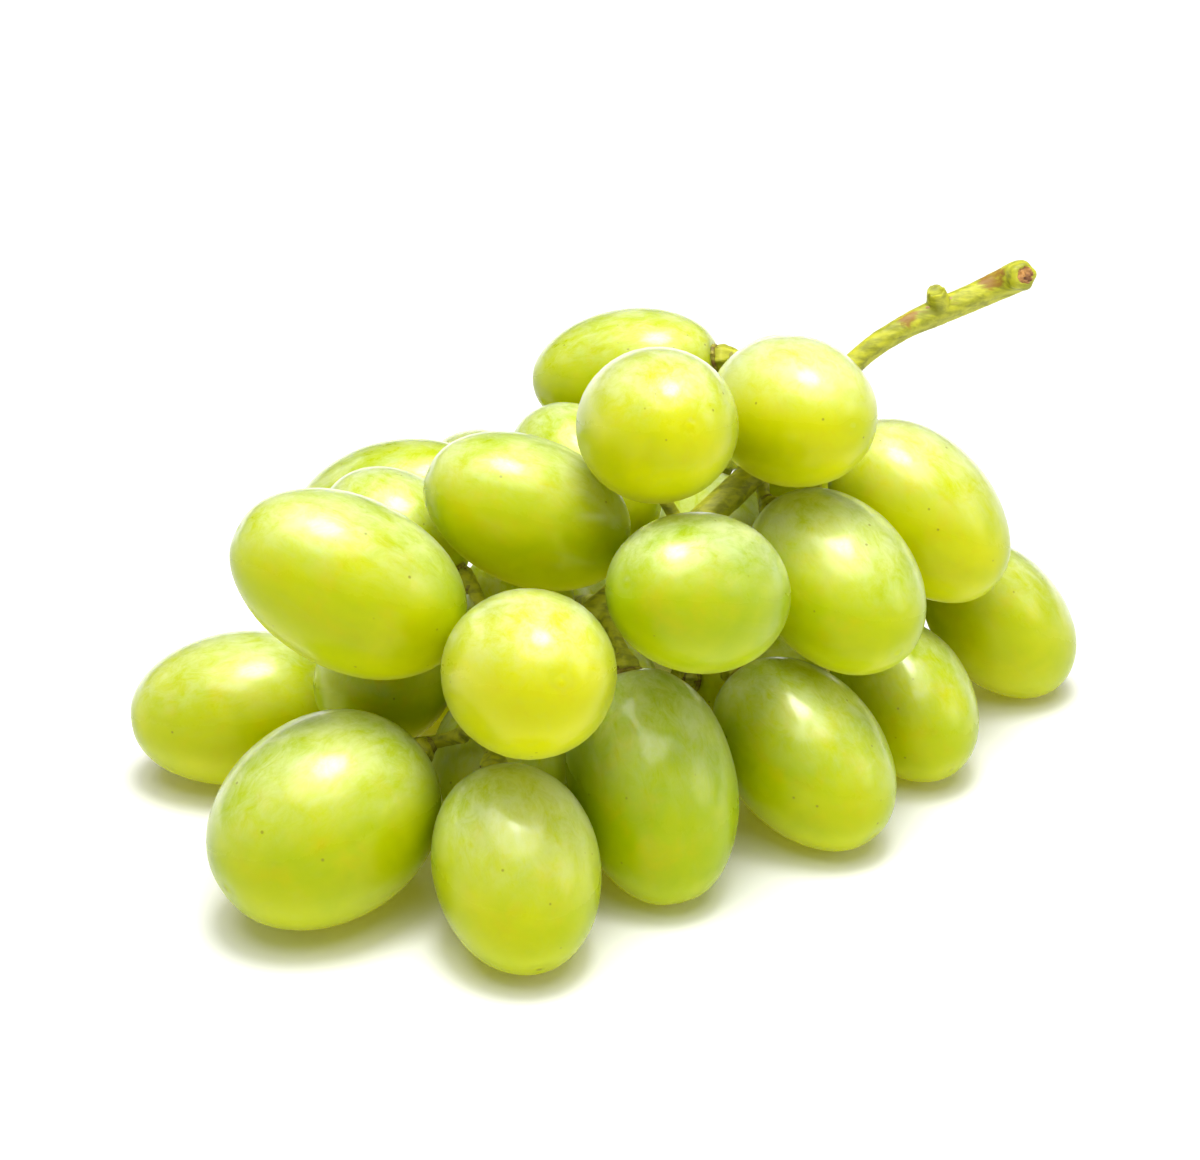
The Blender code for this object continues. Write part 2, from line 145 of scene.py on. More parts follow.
class Wire:
    """A socket of a material, with signs that add Math nodes."""

    def __init__(self, tree, socket=None):
        self.tree = tree
        self.socket = socket

    def node(self, kind, settings=None, inputs=None, out=0):
        """Adds a node, sets it up, feeds its sockets, and gives back one of its outputs."""
        made = self.tree.nodes.new(kind)
        for name, value in (settings or {}).items():
            if name == "stops":
                while len(made.color_ramp.elements) < len(value):
                    made.color_ramp.elements.new(0.5)
                for element, (position, colour) in zip(made.color_ramp.elements, value):
                    element.position = position
                    element.color = colour
            else:
                setattr(made, name, value)
        for name, value in (inputs or {}).items():
            if isinstance(value, Wire):
                self.tree.links.new(value.socket, made.inputs[name])
            else:
                made.inputs[name].default_value = value
        return Wire(self.tree, made.outputs[out])

    def sum(self, operation, *values):
        return self.node("ShaderNodeMath", {"operation": operation}, dict(enumerate(values)))

    def __add__(self, other):
        return self.sum("ADD", self, other)

    __radd__ = __add__

    def __sub__(self, other):
        return self.sum("SUBTRACT", self, other)

    def __rsub__(self, other):
        return self.sum("SUBTRACT", other, self)

    def __mul__(self, other):
        return self.sum("MULTIPLY", self, other)

    __rmul__ = __mul__

    def __truediv__(self, other):
        return self.sum("DIVIDE", self, other)

    def step(self, low, high):
        """0 below low, 1 above high, and smooth between them."""
        settings = {"interpolation_type": "SMOOTHSTEP", "clamp": True}
        return self.node("ShaderNodeMapRange", settings, {"Value": self, "From Min": low, "From Max": high})


def paint(factor, under, over):
    """Colour over on top of colour under, as thick as the factor says."""
    settings = {"data_type": "RGBA", "clamp_factor": True}
    inputs = {COLOUR_MIX["factor"]: factor, COLOUR_MIX["a"]: under, COLOUR_MIX["b"]: over}
    return factor.node("ShaderNodeMix", settings, inputs, out=COLOUR_MIX["out"])


def vector_sum(operation, wire, other):
    """A Vector Math node on a vector and another vector."""
    return wire.node("ShaderNodeVectorMath", {"operation": operation}, {0: wire, 1: other})


def grain(place, scale, detail=3.0, rough=0.55, twist=0.0):
    """Noise from 0 to 1 at a number of lumps to the millimetre."""
    inputs = {"Vector": place, "Scale": scale, "Detail": detail, "Roughness": rough, "Distortion": twist}
    return place.node("ShaderNodeTexNoise", {}, inputs)


def new_material(name):
    """A material with a Principled BSDF, and a Wire to write it with."""
    made = bpy.data.materials.new(name)
    made.use_nodes = True
    shader = made.node_tree.nodes["Principled BSDF"]
    return made, shader, Wire(made.node_tree)


def feed(wire, shader, **sockets):
    """Links wires to the shader's sockets, and sets its plain numbers."""
    for name, value in sockets.items():
        socket = shader.inputs[name.replace("_", " ")]
        if isinstance(value, Wire):
            wire.tree.links.new(value.socket, socket)
        else:
            socket.default_value = value


print("materials are written with", [name for name in dir(Wire) if not name.startswith("_")])

# %% [markdown]
# ## The floor
# A sheet of white card reaches well past the picture on all sides, so that no view shows its
# edge. Its own lamps keep a studio's backdrop white far from the object, where the soft box
# doesn't reach. Here the card glows a little by itself from a hand's breadth outwards. A tint
# would show in the soft shadows, which should take their colour from the grapes alone.

# %% The floor
FLOOR_WIDTH = 12.0
CARD_WHITE = (0.92, 0.92, 0.92, 1)
GLOW = (0.85, 0.85, 0.85, 1)
GLOW_FROM = 0.10                # metres from the middle
GLOW_FULL = 0.55

bpy.ops.mesh.primitive_plane_add(size=FLOOR_WIDTH, location=(0, 0, 0))
floor = bpy.context.object
floor.name = "floor"
card, card_shader, write = new_material("white card")
spot = write.node("ShaderNodeTexCoord", {}, {}, out=3)
from_middle = write.node("ShaderNodeVectorMath", {"operation": "LENGTH"}, {0: spot}, out=1)
glow = paint(from_middle.step(GLOW_FROM, GLOW_FULL), (0, 0, 0, 1), GLOW)
feed(write, card_shader, Base_Color=CARD_WHITE, Roughness=0.75, Emission_Color=glow, Emission_Strength=1.0)
floor.data.materials.append(card)
print("floor", FLOOR_WIDTH, "m wide")

# %% [markdown]
# ## Reading a grape's solid
# Each solid is an oval turned round its long axis. The frame gives only triangles, but the two
# ends of the axis are easy to find: they are the corners where the most triangles meet. The
# rings lie closer together at the stem end, which tells one end from the other. The widest
# distance of any corner from the axis is half the width.

# %% Reading a grape's solid
DIMPLE = 0.5 * MM       # how deep the stem end of every solid is pressed in


def read_grape(name):
    """Middle, axis towards the stem, half length and half width of a grape's solid."""
    mesh = frame["nodes"][name].data
    spots = [tuple(round(c, 7) for c in vertex.co) for vertex in mesh.vertices]
    meets = Counter()
    beside = {}
    for face in mesh.polygons:
        corners = {spots[index] for index in face.vertices}
        for corner in corners:
            meets[corner] += 1
            beside.setdefault(corner, set()).update(corners - {corner})
    ends = [corner for corner, _ in meets.most_common(2)]
    reach = [max(math.dist(end, other) for other in beside[end]) for end in ends]
    stem_end, blossom_end = [Vector(end) for _, end in sorted(zip(reach, ends))]
    axis = (stem_end - blossom_end).normalized()
    half_length = ((stem_end - blossom_end).length + DIMPLE) / 2
    middle = blossom_end + axis * half_length
    arms = [Vector(spot) - middle for spot in meets]
    half_width = max((arm - axis * axis.dot(arm)).length for arm in arms)
    return middle, axis, half_length, half_width


solids = {name: read_grape(name) for name in grape_nodes}
for name, (middle, axis, half_length, half_width) in solids.items():
    print(f"{name:20s} {2 * half_length / MM:5.1f} long {2 * half_width / MM:5.1f} wide")

# %% [markdown]
# ## One grape, modelled by hand
# A grape is a turned form: an oval, a little fuller than an ellipse, with a dimple where its
# stalk enters and a tiny raised scar at the other end, where the flower was. A sphere primitive
# would spend its faces evenly. Here a circle is cut in half, its points are set closer together
# near both ends, and the half outline is spun round the axis.

# %% One grape, modelled by hand
HALF_LENGTH = 12.0 * MM         # of the master, which copies are stretched from
HALF_WIDTH = 9.0 * MM
OUTLINE_POINTS = 88
TURNS = 44
BLUNTNESS = 0.95
STEM_END_WIDER = 0.03
DIMPLE_RADIUS = 1.9 * MM
LIP_HEIGHT = 0.10 * MM          # the skin swells a little round the dimple
LIP_RADIUS = 3.4 * MM
SCAR_RADIUS = 0.42 * MM
SCAR_HEIGHT = 0.13 * MM
SCAR_PIT_RADIUS = 1.3 * MM
SCAR_PIT = 0.16 * MM


def edit(thing):
    """Selects one object alone, and opens it in edit mode with nothing selected."""
    bpy.ops.object.select_all(action="DESELECT")
    bpy.context.view_layer.objects.active = thing
    thing.select_set(True)
    bpy.ops.object.mode_set(mode="EDIT")
    bpy.ops.mesh.select_all(action="DESELECT")


def outline_point(angle):
    """Radius and height of the grape's outline at an angle from its stem end."""
    radius = HALF_WIDTH * math.sin(angle) ** BLUNTNESS * (1 + STEM_END_WIDER * math.cos(angle))
    height = HALF_LENGTH * math.cos(angle)
    if height > 0:
        height -= DIMPLE * math.exp(-(radius / DIMPLE_RADIUS) ** 2)
        height += LIP_HEIGHT * math.exp(-((radius - LIP_RADIUS) / DIMPLE_RADIUS) ** 2)
    else:
        height += SCAR_PIT * math.exp(-(radius / SCAR_PIT_RADIUS) ** 2)
        height -= SCAR_HEIGHT * math.exp(-(radius / SCAR_RADIUS) ** 4)
    return radius, height


def crowd_ends(share):
    """An even share of the outline, drawn towards both of its ends."""
    return share - 0.62 * math.sin(math.tau * share) / math.tau


bpy.ops.object.select_all(action="DESELECT")
bpy.ops.mesh.primitive_circle_add(vertices=OUTLINE_POINTS, radius=HALF_WIDTH, location=(0, 0, 0),
                                  rotation=(math.radians(90), 0, 0))
master = bpy.context.object
master.name = "grape_master"
bpy.ops.object.transform_apply(location=False, rotation=True, scale=False)
edit(master)
bpy.ops.mesh.select_all(action="SELECT")
bpy.ops.mesh.bisect(plane_co=(0, 0, 0), plane_no=(1, 0, 0), clear_inner=True)
bpy.ops.object.mode_set(mode="OBJECT")
ranked = sorted(master.data.vertices, key=lambda vertex: -vertex.co.z)
for rank, vertex in enumerate(ranked):
    angle = math.pi * crowd_ends(rank / (len(ranked) - 1))
    radius, height = outline_point(angle)
    vertex.co = (max(radius, 0.0) if 0 < rank < len(ranked) - 1 else 0.0, 0.0, height)
edit(master)
bpy.ops.mesh.select_all(action="SELECT")
bpy.ops.mesh.spin(steps=TURNS, angle=math.tau, center=(0, 0, 0), axis=(0, 0, 1))
bpy.ops.mesh.select_all(action="SELECT")
bpy.ops.mesh.remove_doubles(threshold=0.005 * MM)
bpy.ops.mesh.normals_make_consistent(inside=False)
bpy.ops.object.mode_set(mode="OBJECT")
print("master grape:", len(master.data.polygons), "faces")

# %% [markdown]
# ## A place on the skin
# The bloom, the veins and the scar follow each grape's own axis, so the material needs to know
# where on its own grape it is. The master's place is kept as an attribute before it is turned
# and stretched, in millimetres, and every copy carries it along. A second attribute holds what
# differs from grape to grape: how yellow it has ripened, how much bloom it wears, how dark the
# scar of its flower is, and a shift that gives it a pattern of its own.

# %% A place on the skin
place_on_skin = master.data.attributes.new("skin_place", "FLOAT_VECTOR", "POINT")
place_on_skin.data.foreach_set("vector", [c / MM for vertex in master.data.vertices for c in vertex.co])

# ripeness, bloom, scar: judged grape by grape, where the front view shows them
LOOKS = {
    "grape_top_back": (0.60, 0.40, 0.0),
    "grape_top_front": (0.80, 0.50, 0.0),
    "grape_top_right": (0.85, 0.85, 0.0),
    "grape_top_left": (0.50, 0.45, 0.0),
    "grape_mid_right_2": (0.75, 0.60, 0.0),
    "grape_mid_right_1": (0.40, 0.60, 0.0),
    "grape_mid_front": (0.20, 0.65, 0.0),
    "grape_mid_left_1": (0.50, 0.55, 0.0),
    "grape_mid_left_2": (0.50, 0.30, 0.0),
    "grape_mid_tip": (1.00, 0.50, 0.0),
    "grape_low_left": (0.60, 0.40, 0.0),
    "grape_low_large": (0.40, 0.60, 0.3),
    "grape_low_tip": (0.50, 0.70, 0.6),
    "grape_low_long": (0.15, 0.60, 0.4),
    "grape_low_right_1": (0.40, 0.45, 0.5),
    "grape_low_right_2": (0.50, 0.40, 0.3),
    "grape_low_right_3": (0.60, 0.40, 0.2),
}
draw = np.random.default_rng(7)
looks = {name: LOOKS.get(name, tuple(draw.uniform(0.3, 0.7, 3))) for name in grape_nodes}
print("looks set by eye for", len(LOOKS), "of", len(looks), "grapes")

# %% [markdown]
# ## Thirty-three different grapes
# Each copy gets its own mesh, is stretched to its solid's length and width, turned to its axis
# at a random roll, and set in its place. A soft cloud pattern then sinks its surface by up to a
# third of a millimetre, here more and there less, because no grape is a perfect oval. It never
# swells it, so that no grape outgrows its solid. The ones that rest on the floor are pressed
# flat there.

# %% Thirty-three different grapes
UNEVEN = 0.30 * MM              # between the least and the most sunken places
UNEVEN_SIZE = 11 * MM
UNEVEN_LEVEL = 1.10             # above 1, even the least sunken place lies a little inwards
PRESS_SOFTNESS = 0.25 * MM      # how round the edge of the flat spot is

unevenness = bpy.data.textures.new("unevenness", "CLOUDS")
unevenness.noise_scale = UNEVEN_SIZE
unevenness.noise_depth = 1


def press_flat(mesh):
    """Brings what is below the floor up to it, with a soft edge."""
    for vertex in mesh.vertices:
        z = vertex.co.z
        vertex.co.z = (z + math.hypot(z, PRESS_SOFTNESS)) / 2


grapes = {}
for name, (middle, axis, half_length, half_width) in solids.items():
    mesh = master.data.copy()
    grape = bpy.data.objects.new(name.replace("grape_", "berry_"), mesh)
    bpy.context.scene.collection.objects.link(grape)
    own = mesh.attributes.new("own_look", "FLOAT_COLOR", "POINT")
    own.data.foreach_set("color", [*looks[name], draw.uniform(0, 1)] * len(mesh.vertices))
    across = half_width / HALF_WIDTH
    stretch = Matrix.Diagonal((across, across, half_length / HALF_LENGTH, 1))
    roll = Matrix.Rotation(draw.uniform(0, math.tau), 4, "Z")
    turn = Vector((0, 0, 1)).rotation_difference(axis).to_matrix().to_4x4()
    mesh.transform(Matrix.Translation(middle) @ turn @ roll @ stretch)
    bpy.ops.object.select_all(action="DESELECT")
    bpy.context.view_layer.objects.active = grape
    grape.select_set(True)
    sink = grape.modifiers.new("sink", "DISPLACE")
    sink.texture = unevenness
    sink.texture_coords = "GLOBAL"
    sink.strength = UNEVEN
    sink.mid_level = UNEVEN_LEVEL
    bpy.ops.object.modifier_apply(modifier=sink.name)
    press_flat(mesh)
    bpy.ops.object.shade_smooth()
    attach(grape, "root")
    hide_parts(name)
    grapes[name] = grape
bpy.data.objects.remove(master, do_unlink=True)
print(len(grapes), "grapes,", sum(len(g.data.polygons) for g in grapes.values()), "faces")

# %% [markdown]
# ## The stem among the grapes
# Inside the bunch the stem branches like a small tree. The frame's solid has the right limbs,
# with flat sides and sharp joints. A copy of it is merged, because the frame's mesh is loose
# triangles, and the bare stalk is cut off it, since that is modelled on its own.

# %% The stem among the grapes
STALK_LEAVES = Vector((30.0, 18.8, 46.6)) * MM + MOVED      # where the bare stalk is cut off
STALK_WAY = Vector((0.75, 0.25, 0.61))


def clean_up():
    """Merges near points and turns every face outwards, in edit mode."""
    bpy.ops.mesh.select_all(action="SELECT")
    bpy.ops.mesh.remove_doubles(threshold=0.005 * MM)
    bpy.ops.mesh.normals_make_consistent(inside=False)


inner_stem = frame["nodes"]["stem"].copy()
inner_stem.data = inner_stem.data.copy()
inner_stem.name = "inner_stem"
del inner_stem["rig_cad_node"]
bpy.context.scene.collection.objects.link(inner_stem)
edit(inner_stem)
clean_up()
bpy.ops.mesh.bisect(plane_co=STALK_LEAVES, plane_no=STALK_WAY, use_fill=True, clear_outer=True)
bpy.ops.object.mode_set(mode="OBJECT")
print("inner stem:", len(inner_stem.data.polygons), "faces")

# %% [markdown]
# ## The bare stalk
# The stalk stands clear of the grapes, so it is seen best. It isn't round: low ridges run along
# it, which is why one side looks pale and the next dark. A section with soft ridges is drawn
# once from a circle, and a curve through the stalk's places carries it along, thicker and
# thinner as the real one is. The curve is then made a mesh, so that its end can be shaped.

# %% The bare stalk
STALK = [               # place and radius, in millimetres, from the torn end inwards
    (47.3, 22.0, 54.5, 1.62),
    (46.9, 23.0, 54.0, 1.72),
    (45.2, 23.9, 52.7, 1.62),
    (42.0, 23.2, 51.4, 1.50),
    (38.0, 21.8, 50.2, 1.47),
    (34.0, 20.2, 48.9, 1.28),
    (29.0, 18.4, 45.9, 1.20),
    (22.5, 15.0, 39.4, 1.40),
]
stalk_places = [Vector(row[:3]) * MM + MOVED for row in STALK]
RIDGES = 5
RIDGE_HEIGHT = 0.09     # as a share of the radius
RIDGE_BIAS = 0.3        # how much higher the ridges are on one side
SECTION_POINTS = 40

bpy.ops.object.select_all(action="DESELECT")
bpy.ops.mesh.primitive_circle_add(vertices=SECTION_POINTS, radius=MM)
section = bpy.context.object
for vertex in section.data.vertices:
    angle = math.atan2(vertex.co.y, vertex.co.x)
    bias = 1 - RIDGE_BIAS + RIDGE_BIAS * math.cos(angle)
    vertex.co *= 1 + RIDGE_HEIGHT * math.cos(RIDGES * angle) * bias
bpy.ops.object.convert(target="CURVE")

bpy.ops.object.select_all(action="DESELECT")
bpy.ops.curve.primitive_bezier_curve_add(location=(0, 0, 0))
stalk = bpy.context.object
stalk.name = "bare_stalk"
line = stalk.data.splines[0]
line.bezier_points.add(len(STALK) - len(line.bezier_points))
for point, place, row in zip(line.bezier_points, stalk_places, STALK):
    point.co = place
    point.handle_left_type = point.handle_right_type = "AUTO"
    point.radius = row[3]
stalk.data.dimensions = "3D"
stalk.data.resolution_u = 10
stalk.data.bevel_mode = "OBJECT"
stalk.data.bevel_object = section
bpy.ops.object.convert(target="MESH")
bpy.data.objects.remove(section, do_unlink=True)
print("stalk:", len(stalk.data.polygons), "faces before its ends are closed")

# %% [markdown]
# ## The torn end
# The stalk was snapped off at a swollen joint. The rim closes in over the break like a collar,
# and the break itself is a small rough pit in the middle. The open ring is extruded step by
# step, each time a little further out and narrower, and then inwards to make the pit.

# %% The torn end
END_WAY = (stalk_places[0] - stalk_places[1]).normalized()
RIM_REACH = 3 * MM      # every point of a rim lies this near to its middle
END_STEPS = [           # how far out, in millimetres, and the width left of the step before
    (0.35, 0.97),
    (0.30, 0.90),
    (0.20, 0.82),
    (0.02, 0.78),
    (-0.35, 0.94),
]


def select_rim(mesh, place, reach):
    """Selects the open edges within reach of a place."""
    shape = bmesh.from_edit_mesh(mesh)
    for edge in shape.edges:
        middle = (edge.verts[0].co + edge.verts[1].co) / 2
        edge.select_set(edge.is_boundary and (middle - place).length < reach)
    bmesh.update_edit_mesh(mesh)


def selected_middle(mesh):
    """Mean place of the selected points in edit mode."""
    chosen = [vertex.co.copy() for vertex in bmesh.from_edit_mesh(mesh).verts if vertex.select]
    return sum(chosen, Vector()) / len(chosen)


edit(stalk)
clean_up()
bpy.ops.mesh.select_all(action="DESELECT")
bpy.ops.mesh.select_mode(type="EDGE")
select_rim(stalk.data, stalk_places[-1], RIM_REACH)
bpy.ops.mesh.edge_face_add()
bpy.ops.mesh.select_all(action="DESELECT")
select_rim(stalk.data, stalk_places[0], RIM_REACH)
for out, width in END_STEPS:
    bpy.ops.mesh.extrude_region_move(TRANSFORM_OT_translate={"value": END_WAY * out * MM})
    bpy.ops.transform.resize(value=(width,) * 3, center_override=selected_middle(stalk.data))
bpy.ops.mesh.edge_face_add()
clean_up()
bpy.ops.mesh.select_mode(type="VERT")
bpy.ops.object.mode_set(mode="OBJECT")
print("stalk:", len(stalk.data.polygons), "faces with its ends")

# %% [markdown]
# ## The stub on the stalk
# A tendril once grew out of the stalk's upper side and broke off. A short cone is set into the
# stalk, its top is inset and sunk, and the rim's points are lifted by uneven amounts, like a
# torn edge.

# %% The stub on the stalk
STUB_FOOT = Vector((38.2, 21.8, 50.6)) * MM + MOVED
STUB_TIP = Vector((37.6, 21.0, 53.3)) * MM + MOVED
STUB_FOOT_RADIUS = 1.45 * MM
STUB_TIP_RADIUS = 1.02 * MM
STUB_SIDES = 14
STUB_WALL = 0.35 * MM
STUB_PIT = 0.45 * MM
TEAR = 0.42 * MM
TORN_ZONE = 0.1 * MM    # points above this far below the tip are lifted


def facing(way):
    """Euler angles that turn +Z to point a way."""
    return way.to_track_quat("Z", "Y").to_euler()


def select_face_towards(mesh, way):
    """Selects the face that lies furthest along a way."""
    shape = bmesh.from_edit_mesh(mesh)
    face = max(shape.faces, key=lambda one: one.calc_center_median().dot(way))
    face.select_set(True)
    bmesh.update_edit_mesh(mesh)


stub_way = (STUB_TIP - STUB_FOOT).normalized()
bpy.ops.object.select_all(action="DESELECT")
bpy.ops.mesh.primitive_cone_add(vertices=STUB_SIDES, radius1=STUB_FOOT_RADIUS, radius2=STUB_TIP_RADIUS,
                                depth=(STUB_TIP - STUB_FOOT).length, location=(STUB_TIP + STUB_FOOT) / 2,
                                rotation=facing(stub_way))
stub = bpy.context.object
bpy.ops.object.transform_apply(location=True, rotation=True, scale=True)
edit(stub)
bpy.ops.mesh.select_mode(type="FACE")
select_face_towards(stub.data, stub_way)
bpy.ops.mesh.inset(thickness=STUB_WALL)
bpy.ops.transform.translate(value=-stub_way * STUB_PIT)
bpy.ops.mesh.select_mode(type="VERT")
bpy.ops.object.mode_set(mode="OBJECT")
tear = np.random.default_rng(3)
for vertex in stub.data.vertices:
    if (vertex.co - STUB_TIP).dot(stub_way) > -TORN_ZONE:
        vertex.co += stub_way * tear.uniform(-1, 1) * TEAR
print("stub:", len(stub.data.polygons), "faces")

# %% [markdown]
# ## One skin over the whole stem
# The limbs, the stalk and the stub overlap as separate shapes. A voxel remesh melts them into
# one skin, smoothing rounds the joints as growth does, and a fine displacement gives back the
# thickness that smoothing takes and leaves the surface a little rough.

# %% One skin over the whole stem
BARK_VOXEL = 0.17 * MM
BARK_ROUNDS = 3
BARK_PLUMPING = 0.10 * MM
BARK_ROUGHNESS = 0.8 * MM


def join(pieces, name):
    """Makes one object of several, with the first one's data."""
    bpy.ops.object.select_all(action="DESELECT")
    for piece in pieces:
        piece.select_set(True)
    bpy.context.view_layer.objects.active = pieces[0]
    bpy.ops.object.join()
    pieces[0].name = name
    bpy.ops.object.transform_apply(location=True, rotation=True, scale=True)
    return pieces[0]


def melt(thing, voxel, rounds, plumping, roughness):
    """Makes overlapping shapes one soft skin, and roughens it a little."""
    remesh = thing.modifiers.new("melt", "REMESH")
    remesh.mode = "VOXEL"
    remesh.voxel_size = voxel
    soften = thing.modifiers.new("soften", "SMOOTH")
    soften.factor = 0.5
    soften.iterations = rounds
    rough = bpy.data.textures.new(thing.name + " roughness", "CLOUDS")
    rough.noise_scale = roughness
    rough.noise_depth = 2
    plump = thing.modifiers.new("plump", "DISPLACE")
    plump.texture = rough
    plump.texture_coords = "GLOBAL"
    plump.strength = plumping
    plump.mid_level = 0.2
    for name in ["melt", "soften", "plump"]:
        bpy.ops.object.modifier_apply(modifier=name)
    bpy.ops.object.shade_smooth()


stem_skin = join([stalk, stub, inner_stem], "stem_bark")
melt(stem_skin, BARK_VOXEL, BARK_ROUNDS, BARK_PLUMPING, BARK_ROUGHNESS)
print("whole stem:", len(stem_skin.data.polygons), "faces")

# %% [markdown]
# ## The break
# In the pit of the torn end are the ends of broken fibres, brown and uneven. A short cylinder
# has its outer face inset ring by ring and divided, and its points are pushed out and in by
# noise, each by its own amount.

# %% The break
BREAK_RADIUS = 1.0 * MM
BREAK_BEHIND = 0.25 * MM        # how far the break lies behind the end of the collar
BREAK_RINGS = 4
BREAK_DEPTH = 0.5 * MM
FIBRE_ZONE = 0.2 * MM           # points further out than this are pushed
FIBRE_RISE = 0.22 * MM
FIBRE_GRAIN = 2600              # lumps to the metre

stalk_end = stalk_places[0] + END_WAY * (sum(max(out, 0) for out, _ in END_STEPS) * MM)
break_middle = stalk_end - END_WAY * BREAK_BEHIND
bpy.ops.object.select_all(action="DESELECT")
bpy.ops.mesh.primitive_cylinder_add(vertices=18, radius=BREAK_RADIUS, depth=BREAK_DEPTH,
                                    location=break_middle, rotation=facing(END_WAY))
torn = bpy.context.object
torn.name = "torn_break"
bpy.ops.object.transform_apply(location=True, rotation=True, scale=True)
edit(torn)
bpy.ops.mesh.select_mode(type="FACE")
select_face_towards(torn.data, END_WAY)
for _ in range(BREAK_RINGS):
    bpy.ops.mesh.inset(thickness=BREAK_RADIUS / (BREAK_RINGS + 1))
bpy.ops.mesh.poke()
bpy.ops.mesh.select_all(action="SELECT")
bpy.ops.mesh.subdivide(number_cuts=1)
bpy.ops.mesh.select_mode(type="VERT")
bpy.ops.object.mode_set(mode="OBJECT")
for vertex in torn.data.vertices:
    if (vertex.co - break_middle).dot(END_WAY) > FIBRE_ZONE:
        vertex.co += END_WAY * noise.noise(vertex.co * FIBRE_GRAIN) * FIBRE_RISE
bpy.ops.object.shade_flat()
print("break:", len(torn.data.polygons), "faces")

# %% [markdown]
# ## The scar below the stub
# A small leaf left a slim, pinkish scar with a slit in it. A sphere primitive is drawn out into
# a lens, and the slit is pressed into its outer side.

# %% The scar below the stub
LEAF_SCAR_AT = Vector((38.1, 21.25, 51.55)) * MM + MOVED
LEAF_SCAR_OUT = Vector((-0.05, -0.52, 0.85)).normalized()
LEAF_SCAR_ALONG = Vector((0.91, 0.32, 0.27)).normalized()
LEAF_SCAR_HALF = (1.75 * MM, 0.50 * MM, 0.26 * MM)      # length, width and thickness
SLIT_DEPTH = 0.75               # as a share of the thickness
SLIT_OFF = 0.25                 # from the scar's middle line, as a share of its half width
SLIT_WIDTH = 0.22               # as a share of that, too
SCAR_TAPER = 0.3                # how much narrower the scar is at its tips

side = LEAF_SCAR_OUT.cross(LEAF_SCAR_ALONG).normalized()
lie = Matrix((side.cross(LEAF_SCAR_OUT), side, LEAF_SCAR_OUT)).transposed().to_4x4()
bpy.ops.object.select_all(action="DESELECT")
bpy.ops.mesh.primitive_uv_sphere_add(segments=28, ring_count=16, radius=1, location=(0, 0, 0))
leaf_scar = bpy.context.object
leaf_scar.name = "leaf_scar"
for vertex in leaf_scar.data.vertices:
    x, y, z = vertex.co
    slit = math.exp(-((y - SLIT_OFF) / SLIT_WIDTH) ** 2) * max(0.0, 1 - x * x) * (z > 0)
    half_length, half_width, half_thick = LEAF_SCAR_HALF
    taper = 1 - SCAR_TAPER * abs(x)
    vertex.co = (x * half_length, y * half_width * taper, (z - SLIT_DEPTH * slit) * half_thick)
leaf_scar.data.transform(Matrix.Translation(LEAF_SCAR_AT) @ lie)
bpy.ops.object.shade_smooth()
print("leaf scar:", len(leaf_scar.data.polygons), "faces")

# %% [markdown]
# ## The seats of the grapes
# Each grape hangs on a short stalk that widens into a flat, warty seat pressed against the
# grape. One seat is modelled: a cylinder whose end is flared by extruding and widening it, with
# a ring of small warts, all melted together. A copy with a roll of its own goes to the stem end
# of every grape.

# %% The seats of the grapes
SEAT_RADIUS = 1.75 * MM
NECK_RADIUS = 0.95 * MM
SEAT_LENGTH = 2.6 * MM
SEAT_FLARE = [(0.22, 1.12), (0.22, 1.30), (0.18, 1.27), (0.24, 1.03), (0.18, 0.80)]
WARTS = 11
WART_RADIUS = 0.24 * MM
SEAT_SUNK = 0.25 * MM           # into the dimple of the grape
SEAT_VOXEL = 0.14 * MM
SEAT_ROUNDS = 1
SEAT_PLUMPING = 0.06 * MM
SEAT_ROUGHNESS = 0.5 * MM

bpy.ops.object.select_all(action="DESELECT")
bpy.ops.mesh.primitive_cylinder_add(vertices=20, radius=NECK_RADIUS, depth=SEAT_LENGTH * 0.5,
                                    location=(0, 0, SEAT_LENGTH * 0.75))
seat = bpy.context.object
bpy.ops.object.transform_apply(location=True, rotation=False, scale=False)
edit(seat)
bpy.ops.mesh.select_mode(type="FACE")
select_face_towards(seat.data, Vector((0, 0, -1)))
for drop, wide in SEAT_FLARE:
    down = Vector((0, 0, -drop * SEAT_LENGTH / 2))
    bpy.ops.mesh.extrude_region_move(TRANSFORM_OT_translate={"value": down})
    bpy.ops.transform.resize(value=(wide, wide, 1), center_override=selected_middle(seat.data))
bpy.ops.mesh.select_mode(type="VERT")
bpy.ops.object.mode_set(mode="OBJECT")
warts = np.random.default_rng(5)
pieces = [seat]
for number in range(WARTS):
    angle = math.tau * (number + warts.uniform(-0.3, 0.3)) / WARTS
    up = warts.uniform(0.15, 0.75)
    reach = SEAT_RADIUS + (NECK_RADIUS - SEAT_RADIUS) * max(0.0, up - 0.25) / 0.5
    spot = Vector((math.cos(angle) * reach, math.sin(angle) * reach, up * SEAT_LENGTH))
    size = WART_RADIUS * warts.uniform(0.6, 1.2)
    bpy.ops.mesh.primitive_ico_sphere_add(subdivisions=2, radius=size, location=spot)
    pieces.append(bpy.context.object)
seat = join(pieces, "seat_master")
melt(seat, SEAT_VOXEL, SEAT_ROUNDS, SEAT_PLUMPING, SEAT_ROUGHNESS)

